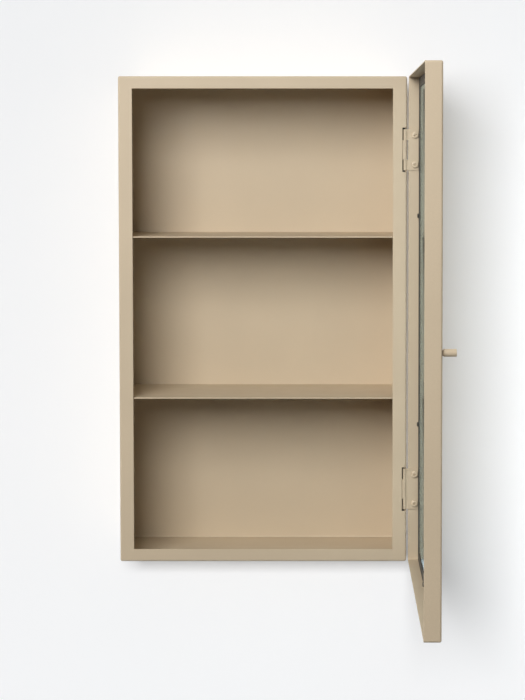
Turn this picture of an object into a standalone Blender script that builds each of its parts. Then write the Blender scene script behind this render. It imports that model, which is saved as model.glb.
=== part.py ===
"""Wall mounted showcase: a folded steel cabinet with two shelves and a glazed steel door.

Metres, +Z up, the cabinet's front faces -Y and its back stands on a wall at Y = 0. The origin is
on the wall plane, midway between the two keyhole seats that the cabinet hangs from. Every door
piece is modelled closed, in the frame of the hinge axis, and the axis's empty turns it open.
"""

import math

import bmesh
import bpy
from mathutils import Matrix, Vector

MM = 0.001

# Cabinet body
WIDTH = 352 * MM
HEIGHT = 596 * MM
BODY_DEPTH = 130 * MM
SHEET = 1.5 * MM
BEND_RADIUS = 2.0 * MM
STILE_WIDTH = 17 * MM
RAIL_WIDTH = 15 * MM
REAR_SIDE_FLANGE = 12 * MM
REAR_TOP_FLANGE = 30 * MM
REAR_BOTTOM_FLANGE = 15 * MM
BACK_RECESS = 5 * MM
HANG_LINE_DROP = 11 * MM
GAP = 0.3 * MM
MITRE_GAP = 0.45 * MM

# Keyholes in the top panel's rear flange
KEYHOLE_SPACING = 250 * MM
KEYHOLE_HEAD_RADIUS = 4.75 * MM
KEYHOLE_SLOT_RADIUS = 2.3 * MM
KEYHOLE_LENGTH = 10 * MM

# Shelves, as heights of their top faces over the cabinet's lowest face
SHELF_HEIGHTS = {"shelf_upper": 400.5 * MM, "shelf_lower": 202.5 * MM}
SHELF_TURN_DOWN = 10 * MM

# Door
DOOR_DEPTH = 18.5 * MM
DOOR_CLEARANCE = 1.5 * MM
DOOR_OPEN_AT_REST = math.radians(90)
GLASS_THICKNESS = 3 * MM
GLASS_OVERLAP = 4.5 * MM
GLAZING_GAP = 0.15 * MM
TAPE_THICKNESS = 0.5 * MM
TAPE_WIDTH = 3.5 * MM
RETAINER_THICKNESS = 0.8 * MM
RETAINER_LAP = 1.5 * MM

# Butt hinges
PIN_SETBACK = 3.1 * MM
PIN_INSET = 2.1 * MM
PIN_RADIUS = 1.0 * MM
BARREL_RADIUS = 2.1 * MM
BORE_RADIUS = 1.1 * MM
HINGE_LENGTH = 50 * MM
HINGE_CENTRE_FROM_END = 89.5 * MM
MIDDLE_KNUCKLE = 24 * MM
LEAF_WIDTH = 16.5 * MM
LEAF_THICKNESS = 1.0 * MM
KNUCKLE_RELIEF = 4.0 * MM
SHOULDER_REACH = 3.1 * MM
SHOULDER_FRONT = 1.9 * MM
SHOULDER_BACK = 2.2 * MM
NOTCH_WIDTH = 5.4 * MM
NOTCH_LENGTH = 54 * MM
NOTCH_CLEARANCE = 0.45 * MM

# Black plates that close the hinge notches from inside, measured from the hinge axis
BACKING_SHEET = 0.8 * MM
BACKING_SIDE = 3.4 * MM
BACKING_DEPTH = 2.6 * MM
BACKING_LENGTH = 60 * MM
BACKING_END_GAP = 0.5 * MM

# Screws: head radius, head height, shank radius
HINGE_SCREW = (4.1 * MM, 2.2 * MM, 1.7 * MM)
RETAINER_SCREW = (2.7 * MM, 1.6 * MM, 1.2 * MM)
KNOB_SCREW = (3.3 * MM, 2.0 * MM, 1.65 * MM)
HINGE_SCREW_OFFSET = 12.3 * MM
HINGE_SCREW_SPACING = 36 * MM
BOSS_RADIUS = 2.75 * MM
BOSS_INSET = 6 * MM
RETAINER_SCREW_FROM_END = {"stile": 170 * MM, "rail": 140 * MM}
RETAINER_SCREW_GRIP = 2.5 * MM

# Knob
KNOB_RADIUS = 4 * MM
KNOB_LENGTH = 15 * MM
KNOB_NECK_RADIUS = 3.1 * MM
KNOB_NECK_LENGTH = 1.5 * MM
KNOB_FROM_EDGE = 8.5 * MM
KNOB_BORE_DEPTH = 8 * MM
KNOB_SOFT_EDGE = 0.4 * MM
KNOB_SCREW_TIP_CLEARANCE = 1.2 * MM

# Magnet behind the left stile
MAGNET_SIZE = (8 * MM, 4 * MM, 30 * MM)
CLIP_SHEET = 0.8 * MM

# Places worked out from the sizes above
Z_TOP = HANG_LINE_DROP
Z_BOTTOM = Z_TOP - HEIGHT
Z_MIDDLE = (Z_TOP + Z_BOTTOM) / 2
HALF_WIDTH = WIDTH / 2
INNER_HALF_WIDTH = HALF_WIDTH - SHEET - GAP
HINGE_AXIS = Vector((HALF_WIDTH - PIN_INSET, PIN_SETBACK - BODY_DEPTH, 0))
RIM_OFFSET = PIN_SETBACK + DOOR_CLEARANCE
HINGE_CENTRES = {
    "hinge_upper": Z_TOP - HINGE_CENTRE_FROM_END,
    "hinge_lower": Z_BOTTOM + HINGE_CENTRE_FROM_END,
}
LEAF_OUTER = PIN_INSET - SHEET - GAP
LEAF_INNER = LEAF_OUTER - LEAF_THICKNESS

# Depths inside the door, measured from its rim towards its front
FLANGE_BACK = DOOR_DEPTH - SHEET
TAPE_FRONT = FLANGE_BACK - GLAZING_GAP
TAPE_BACK = TAPE_FRONT - TAPE_THICKNESS
GLASS_FRONT = TAPE_BACK - GLAZING_GAP
GLASS_BACK = GLASS_FRONT - GLASS_THICKNESS
RETAINER_FRONT = GLASS_BACK - GLAZING_GAP
RETAINER_BACK = RETAINER_FRONT - RETAINER_THICKNESS

BEND_STEPS = 3
ROUND_STEPS = 24
SCREW_STEPS = 16
SHARP_ANGLE = math.radians(35)


# Scene and materials

def clear_scene():
    for obj in list(bpy.data.objects):
        bpy.data.objects.remove(obj, do_unlink=True)


def material(name, colour, roughness, metallic=0.0, alpha=1.0):
    made = bpy.data.materials.new(name)
    made.use_nodes = True
    shader = made.node_tree.nodes["Principled BSDF"]
    shader.inputs["Base Color"].default_value = (*colour, 1.0)
    shader.inputs["Roughness"].default_value = roughness
    shader.inputs["Metallic"].default_value = metallic
    shader.inputs["Alpha"].default_value = alpha
    return made


def place(name, mesh, finish, parent=None):
    """Put a mesh in the scene as one named piece, with its round faces smooth."""
    mesh.materials.clear()
    mesh.materials.append(finish)
    mesh.shade_smooth()
    mesh.set_sharp_from_angle(angle=SHARP_ANGLE)
    piece = bpy.data.objects.new(name, mesh)
    bpy.context.scene.collection.objects.link(piece)
    piece.parent = parent
    return piece


def finished_mesh(shape, name):
    """Turn a bmesh into a mesh whose faces all point out."""
    bmesh.ops.recalc_face_normals(shape, faces=shape.faces)
    mesh = bpy.data.meshes.new(name)
    shape.to_mesh(mesh)
    shape.free()
    return mesh


# Basic solids

def add_box(shape, low, high):
    size = [high[axis] - low[axis] for axis in range(3)]
    centre = [(high[axis] + low[axis]) / 2 for axis in range(3)]
    move = Matrix.Translation(centre) @ Matrix.Diagonal((*size, 1))
    return bmesh.ops.create_cube(shape, size=1, matrix=move)["verts"]


def add_rod(shape, start, end, radius, steps=ROUND_STEPS):
    """Add a cylinder between two points."""
    start = Vector(start)
    along = Vector(end) - start
    turn = along.to_track_quat("Z", "Y").to_matrix().to_4x4()
    move = Matrix.Translation(start + along / 2) @ turn
    bmesh.ops.create_cone(
        shape,
        cap_ends=True,
        segments=steps,
        radius1=radius,
        radius2=radius,
        depth=along.length,
        matrix=move,
    )


def box_mesh(name, low, high):
    shape = bmesh.new()
    add_box(shape, low, high)
    return finished_mesh(shape, name)


def turned_mesh(name, profile, steps):
    """Spin a profile of (radius, height) points that starts and ends on the axis."""
    shape = bmesh.new()
    points = [shape.verts.new((radius, 0, height)) for radius, height in profile]
    edges = [shape.edges.new(pair) for pair in zip(points, points[1:])]
    bmesh.ops.spin(
        shape,
        geom=points + edges,
        cent=(0, 0, 0),
        axis=(0, 0, 1),
        angle=math.tau,
        steps=steps,
        use_merge=True,
    )
    bmesh.ops.remove_doubles(shape, verts=shape.verts, dist=0.001 * MM)
    return finished_mesh(shape, name)


# Folded sheet

def bend_points(corner, along, inward, sheet, radius):
    """Outer and inner points round one right-angled bend that turns towards the inside."""
    centre = corner - along * radius + inward * radius
    pairs = []
    for step in range(BEND_STEPS + 1):
        angle = math.pi / 2 * step / BEND_STEPS
        outwards = along * math.sin(angle) - inward * math.cos(angle)
        pairs.append((centre + outwards * radius, centre + outwards * (radius - sheet)))
    return pairs


def folded_section(path, sheet=SHEET, radius=BEND_RADIUS):
    """Pairs of outer and inner points along a strip whose outer face follows a path.

    The path turns left by a right angle at each inner point, and the sheet lies on its left.
    """
    points = [Vector(point) for point in path]
    runs = [(after - before).normalized() for before, after in zip(points, points[1:])]
    sides = [Vector((-run.y, run.x)) for run in runs]
    pairs = [(points[0], points[0] + sides[0] * sheet)]
    for corner, run, side in zip(points[1:-1], runs, sides):
        pairs += bend_points(corner, run, side, sheet, radius)
    pairs.append((points[-1], points[-1] + sides[-1] * sheet))
    return pairs


def folded_mesh(name, section, to_world, ends):
    """Run a folded section between two ends.

    ends gives the low and high end for a section point, and to_world turns a section point and
    a place along the run into a position.
    """
    shape = bmesh.new()
    rings = []
    for which_end in (0, 1):
        ring = []
        for pair in section:
            corners = [shape.verts.new(to_world(point, ends(point)[which_end])) for point in pair]
            ring.append(corners)
        rings.append(ring)
    low, high = rings
    for here in range(len(section) - 1):
        there = here + 1
        for side in (0, 1):
            shape.faces.new((low[here][side], low[there][side], high[there][side], high[here][side]))
        for ring in rings:
            shape.faces.new((ring[here][0], ring[here][1], ring[there][1], ring[there][0]))
    for tip in (0, -1):
        shape.faces.new((low[tip][0], low[tip][1], high[tip][1], high[tip][0]))
    return finished_mesh(shape, name)


# Booleans

def cutter(name, shape, parent=None):
    """A hidden solid that cuts, or joins, another piece."""
    tool = bpy.data.objects.new(name, finished_mesh(shape, name))
    bpy.context.scene.collection.objects.link(tool)
    tool.parent = parent
    tool.hide_render = True
    tool.display_type = "WIRE"
    return tool


def combine(piece, tool, operation):
    step = piece.modifiers.new(operation.lower(), "BOOLEAN")
    step.operation = operation
    step.solver = "EXACT"
    step.object = tool


# Cabinet body

def wall_section(front_flange, rear_flange):
    """Section of one cabinet wall, as (depth from the wall plane, distance in from outside)."""
    return folded_section(
        [(0, rear_flange), (0, 0), (BODY_DEPTH, 0), (BODY_DEPTH, front_flange)]
    )


def mitre_slope(depth, rear_flange):
    """How far a corner's mitre runs along the side for each unit along the top or bottom."""
    if depth > BODY_DEPTH / 2:
        return RAIL_WIDTH / STILE_WIDTH
    return rear_flange / REAR_SIDE_FLANGE


def side_panel_mesh(name, side):
    """A side wall with a stile at the front, and mitred ends; side is -1 on the left, 1 right."""

    def ends(point):
        depth, inset = point
        low = Z_BOTTOM + inset * mitre_slope(depth, REAR_BOTTOM_FLANGE)
        high = Z_TOP - inset * mitre_slope(depth, REAR_TOP_FLANGE)
        return low, high

    def to_world(point, height):
        return side * (HALF_WIDTH - point.y), -point.x, height

    return folded_mesh(name, wall_section(STILE_WIDTH, REAR_SIDE_FLANGE), to_world, ends)


def level_panel_mesh(name, outer_z, inwards, rear_flange):
    """The top or bottom wall with a rail at the front; inwards is -1 on top, 1 at the bottom."""

    def ends(point):
        depth, inset = point
        reach = HALF_WIDTH - inset / mitre_slope(depth, rear_flange) - MITRE_GAP
        return -reach, reach

    def to_world(point, along):
        return along, -point.x, outer_z + inwards * point.y

    return folded_mesh(name, wall_section(RAIL_WIDTH, rear_flange), to_world, ends)


def keyhole_outline():
    """Round entry for a screw head, with a slot up to the seat at height 0."""
    entry_z = -KEYHOLE_LENGTH
    opening = math.acos(KEYHOLE_SLOT_RADIUS / KEYHOLE_HEAD_RADIUS)
    sweep = math.tau - (math.pi - 2 * opening)
    points = []
    for step in range(ROUND_STEPS + 1):
        angle = opening - sweep * step / ROUND_STEPS
        x = KEYHOLE_HEAD_RADIUS * math.cos(angle)
        points.append((x, entry_z + KEYHOLE_HEAD_RADIUS * math.sin(angle)))
    for step in range(SCREW_STEPS // 2 + 1):
        angle = math.pi * (1 - step / (SCREW_STEPS // 2))
        x = KEYHOLE_SLOT_RADIUS * math.cos(angle)
        points.append((x, KEYHOLE_SLOT_RADIUS * math.sin(angle)))
    return points


def keyhole_cutter():
    shape = bmesh.new()
    for side in (-1, 1):
        centre = side * KEYHOLE_SPACING / 2
        rim = [shape.verts.new((centre + x, -2 * SHEET, z)) for x, z in keyhole_outline()]
        face = shape.faces.new(rim)
        grown = bmesh.ops.extrude_face_region(shape, geom=[face])["geom"]
        moved = [part for part in grown if isinstance(part, bmesh.types.BMVert)]
        bmesh.ops.translate(shape, verts=moved, vec=(0, 3 * SHEET, 0))
    return cutter("keyhole_cutter", shape)


def hinge_side_cutter():
    """Corner notches that the barrels turn in, and the tapped holes of the leaf screws."""
    shape = bmesh.new()
    for centre in HINGE_CENTRES.values():
        low = (HALF_WIDTH - NOTCH_WIDTH, -BODY_DEPTH - SHEET, centre - NOTCH_LENGTH / 2)
        high = (
            HALF_WIDTH + SHEET,
            HINGE_AXIS.y + BARREL_RADIUS + NOTCH_CLEARANCE,
            centre + NOTCH_LENGTH / 2,
        )
        add_box(shape, low, high)
        for z in screw_heights(centre):
            y = HINGE_AXIS.y + HINGE_SCREW_OFFSET
            start = (INNER_HALF_WIDTH - GAP, y, z)
            add_rod(shape, start, (HALF_WIDTH + SHEET, y, z), HINGE_SCREW[2] + GAP, SCREW_STEPS)
    return cutter("hinge_side_cutter", shape)


def back_panel_mesh(name):
    """A shallow tray, open to the wall, that stands on the rear flanges."""
    front = -BACK_RECESS - SHEET
    shape = bmesh.new()
    low = (-INNER_HALF_WIDTH, front, Z_BOTTOM + SHEET + GAP)
    high = (INNER_HALF_WIDTH, -SHEET - GAP, Z_TOP - SHEET - GAP)
    add_box(shape, low, high)
    rear = max(shape.faces, key=lambda face: face.calc_center_median().y)
    bmesh.ops.inset_individual(shape, faces=[rear], thickness=SHEET, use_even_offset=True)
    bmesh.ops.translate(shape, verts=rear.verts, vec=(0, -BACK_RECESS - high[1], 0))
    return finished_mesh(shape, name)


def shelf_mesh(name, top):
    """A full-depth shelf with both sides turned down against the cabinet's walls."""
    section = folded_section(
        [
            (INNER_HALF_WIDTH, top - SHELF_TURN_DOWN),
            (INNER_HALF_WIDTH, top),
            (-INNER_HALF_WIDTH, top),
            (-INNER_HALF_WIDTH, top - SHELF_TURN_DOWN),
        ]
    )

    def to_world(point, along):
        return point.x, along, point.y

    def ends(_point):
        return -BODY_DEPTH + SHEET + GAP, -BACK_RECESS - SHEET - GAP

    return folded_mesh(name, section, to_world, ends)


def build_body(coat):
    place("side_panel_left", side_panel_mesh("side_panel_left", -1), coat)
    right = place("side_panel_right", side_panel_mesh("side_panel_right", 1), coat)
    combine(right, hinge_side_cutter(), "DIFFERENCE")
    top = place("top_panel", level_panel_mesh("top_panel", Z_TOP, -1, REAR_TOP_FLANGE), coat)
    combine(top, keyhole_cutter(), "DIFFERENCE")
    bottom = level_panel_mesh("bottom_panel", Z_BOTTOM, 1, REAR_BOTTOM_FLANGE)
    place("bottom_panel", bottom, coat)
    place("back_panel", back_panel_mesh("back_panel"), coat)
    for name, height in SHELF_HEIGHTS.items():
        place(name, shelf_mesh(name, Z_BOTTOM + height), coat)


# Door magnet

def build_magnet(bare_metal, coat):
    """A block magnet behind the left stile, held by a small folded clip."""
    wide, deep, tall = MAGNET_SIZE
    left = -INNER_HALF_WIDTH
    front = -BODY_DEPTH + SHEET + GAP
    low = (left, front, Z_MIDDLE - tall / 2)
    high = (left + wide, front + deep, Z_MIDDLE + tall / 2)
    place("door_magnet", box_mesh("door_magnet", low, high), bare_metal)

    reach = tall / 2 + GAP + CLIP_SHEET
    back = front + deep + GAP + CLIP_SHEET
    path = [
        (front, Z_MIDDLE - reach),
        (back, Z_MIDDLE - reach),
        (back, Z_MIDDLE + reach),
        (front, Z_MIDDLE + reach),
    ]

    def to_world(point, along):
        return along, point.x, point.y

    def ends(_point):
        return left, left + wide

    section = folded_section(path, CLIP_SHEET, CLIP_SHEET + GAP)
    place("magnet_clip", folded_mesh("magnet_clip", section, to_world, ends), coat)


# Screws

def screw_profile(head_radius, head_height, shank_radius, shank_length):
    """Pan head over height 0 and shank below it, from the top of the head to the tip."""
    return [
        (0, head_height),
        (0.55 * head_radius, 0.93 * head_height),
        (0.86 * head_radius, 0.68 * head_height),
        (head_radius, 0.25 * head_height),
        (head_radius, 0),
        (shank_radius, 0),
        (shank_radius, -shank_length),
        (0, -shank_length),
    ]


def screw_mesh(name, size, shank_length):
    """A pan-head screw along +Z with a cross recess in its head."""
    head_radius, head_height, _shank_radius = size
    blank = bpy.data.objects.new(
        name + "_blank",
        turned_mesh(name, screw_profile(*size, shank_length), SCREW_STEPS),
    )
    bpy.context.scene.collection.objects.link(blank)
    shape = bmesh.new()
    arm = 0.5 * head_radius
    half_slot = 0.12 * head_radius
    floor = 0.35 * head_height
    for reach_x, reach_y in ((arm, half_slot), (half_slot, arm)):
        add_box(shape, (-reach_x, -reach_y, floor), (reach_x, reach_y, 2 * head_height))
    cross = cutter(name + "_cross", shape)
    combine(blank, cross, "DIFFERENCE")
    blank.modifiers[0].use_self = True
    done = bpy.data.meshes.new_from_object(
        blank.evaluated_get(bpy.context.evaluated_depsgraph_get())
    )
    for helper in (blank, cross):
        bpy.data.objects.remove(helper, do_unlink=True)
    return done


def aim(piece, position, head_direction):
    """Stand a piece that was made along +Z at a position, with its head towards a direction."""
    piece.location = position
    piece.rotation_mode = "QUATERNION"
    piece.rotation_quaternion = Vector(head_direction).to_track_quat("Z", "Y")


def screw_heights(centre):
    return [centre + side * HINGE_SCREW_SPACING / 2 for side in (1, -1)]


# Hinges

def knuckle_shoulder():
    """A block that carries the middle knuckle across to the edge of the stile."""
    shape = bmesh.new()
    low = (-SHOULDER_REACH, -SHOULDER_FRONT, -MIDDLE_KNUCKLE / 2)
    add_box(shape, low, (LEAF_INNER, SHOULDER_BACK, MIDDLE_KNUCKLE / 2))
    return shape


def leaf_mesh_and_cuts(name, direction, keeps_middle, parent=None):
    """A leaf in the hinge axis's frame, running towards direction * Y from the barrel."""
    shape = bmesh.new()
    span = sorted((0, direction * LEAF_WIDTH))
    half = HINGE_LENGTH / 2
    add_box(shape, (LEAF_INNER, span[0], -half), (LEAF_OUTER, span[1], half))
    plate = finished_mesh(shape, name)

    barrel = bmesh.new()
    add_rod(barrel, (0, 0, -half), (0, 0, half), BARREL_RADIUS)

    cuts = bmesh.new()
    clear = 2 * BARREL_RADIUS
    relief = sorted((-direction * clear, direction * KNUCKLE_RELIEF))
    middle = MIDDLE_KNUCKLE / 2
    if keeps_middle:
        bands = ((-half - GAP, -middle), (middle, half + GAP))
    else:
        bands = ((-middle - GAP, middle + GAP),)
    for low, high in bands:
        add_box(cuts, (-clear, relief[0], low), (clear, relief[1], high))

    holes = bmesh.new()
    add_rod(holes, (0, 0, -half - GAP), (0, 0, half + GAP), BORE_RADIUS)
    for z in screw_heights(0):
        y = direction * HINGE_SCREW_OFFSET
        ends = ((LEAF_INNER - SHEET, y, z), (LEAF_OUTER + SHEET, y, z))
        add_rod(holes, *ends, HINGE_SCREW[2] + GAP, SCREW_STEPS)

    tools = [(cutter(name + "_barrel", barrel, parent), "UNION")]
    if keeps_middle:
        tools.append((cutter(name + "_shoulder", knuckle_shoulder(), parent), "UNION"))
    tools.append((cutter(name + "_relief", cuts, parent), "DIFFERENCE"))
    tools.append((cutter(name + "_holes", holes, parent), "DIFFERENCE"))
    return plate, tools


def build_leaf(name, centre, direction, keeps_middle, coat, parent):
    plate, tools = leaf_mesh_and_cuts(name, direction, keeps_middle, parent)
    leaf = place(name, plate, coat, parent)
    leaf.location.z = centre
    for tool, operation in tools:
        tool.location.z = centre
        combine(leaf, tool, operation)


def build_backing(name, centre, black_coat, parent):
    """A folded plate behind the stile that closes a hinge notch from inside."""
    left = -BACKING_SIDE - BACKING_SHEET
    back = BACKING_DEPTH + BACKING_SHEET
    front = SHEET + GAP - PIN_SETBACK
    path = [(LEAF_OUTER, back), (left, back), (left, front)]
    section = folded_section(path, BACKING_SHEET, BACKING_SHEET + GAP)

    def to_world(point, along):
        return point.x, point.y, along

    def ends(_point):
        return -BACKING_LENGTH / 2, BACKING_LENGTH / 2

    slot = bmesh.new()
    half = HINGE_LENGTH / 2 + BACKING_END_GAP
    low = (LEAF_INNER - GAP, BACKING_DEPTH - SHEET, -half)
    add_box(slot, low, (LEAF_OUTER + SHEET, back + SHEET, half))
    backing = place(name, folded_mesh(name, section, to_world, ends), black_coat, parent)
    tool = cutter(name + "_slot", slot, parent)
    for part in (backing, tool):
        part.location.z = centre
    combine(backing, tool, "DIFFERENCE")


def build_hinges(coat, black_coat, bare_metal, cabinet_axis, door_axis):
    """Two butt hinges: one leaf on the cabinet, one on the door, a pin through both."""
    shank = GAP + LEAF_THICKNESS + SHEET
    screw = screw_mesh("hinge_screw", HINGE_SCREW, shank)
    pin_half = HINGE_LENGTH / 2
    pin_profile = [
        (0, pin_half),
        (PIN_RADIUS, pin_half),
        (PIN_RADIUS, -pin_half),
        (0, -pin_half),
    ]
    pin = turned_mesh("hinge_pin", pin_profile, ROUND_STEPS)
    for name, centre in HINGE_CENTRES.items():
        build_backing(name + "_backing", centre, black_coat, cabinet_axis)
        build_leaf(name + "_cabinet_leaf", centre, 1, True, coat, cabinet_axis)
        build_leaf(name + "_door_leaf", centre, -1, False, coat, door_axis)
        place(name + "_pin", pin.copy(), bare_metal, cabinet_axis).location.z = centre
        for side, direction, axis in (("cabinet", 1, cabinet_axis), ("door", -1, door_axis)):
            for number, z in enumerate(screw_heights(centre), start=1):
                piece = place(f"{name}_{side}_screw_{number}", screw.copy(), coat, axis)
                y = direction * HINGE_SCREW_OFFSET
                aim(piece, (LEAF_INNER - GAP, y, z), (-1, 0, 0))


# Door frame

def door_section(flange):
    """Section of one door member, as (depth from the rim, distance in from outside)."""
    return folded_section([(0, 0), (DOOR_DEPTH, 0), (DOOR_DEPTH, flange)])


def door_x(across):
    """Place across the closed door, from its hinge edge, in the hinge axis's frame."""
    return PIN_INSET - across


def door_y(depth):
    """Place through the closed door, from its rim to its front, in the hinge axis's frame."""
    return -RIM_OFFSET - depth


def door_stile_mesh(name, from_hinge):
    """An upright of the door; from_hinge says whether it is the one on the hinges."""

    def ends(point):
        cut = point.y * RAIL_WIDTH / STILE_WIDTH
        return Z_BOTTOM + cut, Z_TOP - cut

    def to_world(point, height):
        across = point.y if from_hinge else WIDTH - point.y
        return door_x(across), door_y(point.x), height

    return folded_mesh(name, door_section(STILE_WIDTH), to_world, ends)


def door_rail_mesh(name, outer_z, inwards):

    def ends(point):
        cut = point.y * STILE_WIDTH / RAIL_WIDTH + MITRE_GAP
        return cut, WIDTH - cut

    def to_world(point, across):
        return door_x(across), door_y(point.x), outer_z + inwards * point.y

    return folded_mesh(name, door_section(RAIL_WIDTH), to_world, ends)


def retainer_screw_places():
    """Screws of each retainer, as (member, distance across the door, height)."""
    stile_reach = HEIGHT / 2 - RETAINER_SCREW_FROM_END["stile"]
    rail_reach = WIDTH / 2 - RETAINER_SCREW_FROM_END["rail"]
    places = []
    for end in (1, -1):
        places.append(("door_stile_hinge", BOSS_INSET, Z_MIDDLE + end * stile_reach))
        places.append(("door_stile_free", WIDTH - BOSS_INSET, Z_MIDDLE + end * stile_reach))
        places.append(("door_rail_top", WIDTH / 2 - end * rail_reach, Z_TOP - BOSS_INSET))
        places.append(("door_rail_bottom", WIDTH / 2 - end * rail_reach, Z_BOTTOM + BOSS_INSET))
    return places


def add_bosses(member, parent):
    """Tapped bosses on the back of the front flange, which the retainer screws go into."""
    bosses = bmesh.new()
    holes = bmesh.new()
    for owner, across, z in retainer_screw_places():
        if owner == member.name:
            x = door_x(across)
            foot = (x, door_y(FLANGE_BACK + SHEET / 2), z)
            head = (x, door_y(RETAINER_FRONT + GAP), z)
            add_rod(bosses, foot, head, BOSS_RADIUS, SCREW_STEPS)
            floor = (x, door_y(FLANGE_BACK), z)
            mouth = (x, door_y(RETAINER_BACK), z)
            add_rod(holes, floor, mouth, RETAINER_SCREW[2] + GAP, SCREW_STEPS)
    combine(member, cutter(member.name + "_bosses", bosses, parent), "UNION")
    combine(member, cutter(member.name + "_boss_holes", holes, parent), "DIFFERENCE")


def leaf_screw_holes(parent):
    shape = bmesh.new()
    for centre in HINGE_CENTRES.values():
        for z in screw_heights(centre):
            y = -HINGE_SCREW_OFFSET
            start = (LEAF_OUTER, y, z)
            add_rod(shape, start, (PIN_INSET + SHEET, y, z), HINGE_SCREW[2] + GAP, SCREW_STEPS)
    return cutter("door_stile_hinge_screw_holes", shape, parent)


def knob_hole(parent):
    x = door_x(WIDTH - KNOB_FROM_EDGE)
    shape = bmesh.new()
    ends = ((x, door_y(FLANGE_BACK - SHEET), Z_MIDDLE), (x, door_y(DOOR_DEPTH + SHEET), Z_MIDDLE))
    add_rod(shape, *ends, KNOB_SCREW[2] + GAP, SCREW_STEPS)
    return cutter("door_stile_free_knob_hole", shape, parent)


def build_door_frame(coat, door_axis):
    hinge_stile = place(
        "door_stile_hinge", door_stile_mesh("door_stile_hinge", True), coat, door_axis
    )
    free_stile = place(
        "door_stile_free", door_stile_mesh("door_stile_free", False), coat, door_axis
    )
    top = place("door_rail_top", door_rail_mesh("door_rail_top", Z_TOP, -1), coat, door_axis)
    bottom = place(
        "door_rail_bottom", door_rail_mesh("door_rail_bottom", Z_BOTTOM, 1), coat, door_axis
    )
    for member in (hinge_stile, free_stile, top, bottom):
        add_bosses(member, door_axis)
    combine(hinge_stile, leaf_screw_holes(door_axis), "DIFFERENCE")
    combine(free_stile, knob_hole(door_axis), "DIFFERENCE")


# Glazing

def pane_corners(overlap):
    """Low and high corners, across the door and up, of a pane that laps the frame's flanges."""
    return (
        (STILE_WIDTH - overlap, Z_BOTTOM + RAIL_WIDTH - overlap),
        (WIDTH - STILE_WIDTH + overlap, Z_TOP - RAIL_WIDTH + overlap),
    )


def door_slab(across, depths, heights):
    """Low and high corners of a box in the closed door, in the hinge axis's frame."""
    low = (door_x(across[1]), door_y(max(depths)), heights[0])
    high = (door_x(across[0]), door_y(min(depths)), heights[1])
    return low, high


def tape_mesh(name):
    """A closed ring of foam tape between the front flanges and the glass."""
    shape = bmesh.new()
    low, high = pane_corners(GLASS_OVERLAP)
    slab = door_slab((low[0], high[0]), (TAPE_BACK, TAPE_FRONT), (low[1], high[1]))
    add_box(shape, *slab)
    sides = [face for face in shape.faces if abs(face.normal.y) > 0.5]
    bmesh.ops.inset_individual(shape, faces=sides, thickness=TAPE_WIDTH, use_even_offset=True)
    bmesh.ops.bridge_loops(shape, edges=[edge for face in sides for edge in face.edges])
    bmesh.ops.delete(shape, geom=sides, context="FACES_ONLY")
    return finished_mesh(shape, name)


def build_glazing(glass, rubber, black_coat, door_axis):
    """The pane, the tape in front of it and the four black strips that hold it from behind."""
    low, high = pane_corners(GLASS_OVERLAP)
    pane = door_slab((low[0], high[0]), (GLASS_BACK, GLASS_FRONT), (low[1], high[1]))
    place("door_glass", box_mesh("door_glass", *pane), glass, door_axis)
    place("glazing_tape", tape_mesh("glazing_tape"), rubber, door_axis)

    depths = (RETAINER_BACK, RETAINER_FRONT)
    edge = SHEET + GAP
    stile_lap = STILE_WIDTH - RETAINER_LAP
    rail_lap = RAIL_WIDTH - RETAINER_LAP
    full_height = (Z_BOTTOM + edge, Z_TOP - edge)
    between = (stile_lap + GAP, WIDTH - stile_lap - GAP)
    strips = {
        "glass_retainer_hinge": ((edge, stile_lap), full_height),
        "glass_retainer_free": ((WIDTH - stile_lap, WIDTH - edge), full_height),
        "glass_retainer_top": (between, (Z_TOP - rail_lap, Z_TOP - edge)),
        "glass_retainer_bottom": (between, (Z_BOTTOM + edge, Z_BOTTOM + rail_lap)),
    }
    holes = bmesh.new()
    shank = RETAINER_THICKNESS + RETAINER_SCREW_GRIP
    screw = screw_mesh("retainer_screw", RETAINER_SCREW, shank)
    for number, (_owner, across, z) in enumerate(retainer_screw_places(), start=1):
        x = door_x(across)
        ends = ((x, door_y(RETAINER_BACK - SHEET), z), (x, door_y(RETAINER_FRONT + GAP / 2), z))
        add_rod(holes, *ends, RETAINER_SCREW[2] + GAP, SCREW_STEPS)
        piece = place(f"retainer_screw_{number}", screw.copy(), black_coat, door_axis)
        aim(piece, (x, door_y(RETAINER_BACK - GAP), z), (0, 1, 0))
    tool = cutter("retainer_holes", holes, door_axis)
    for name, (across, heights) in strips.items():
        slab = box_mesh(name, *door_slab(across, depths, heights))
        combine(place(name, slab, black_coat, door_axis), tool, "DIFFERENCE")


# Knob

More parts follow.
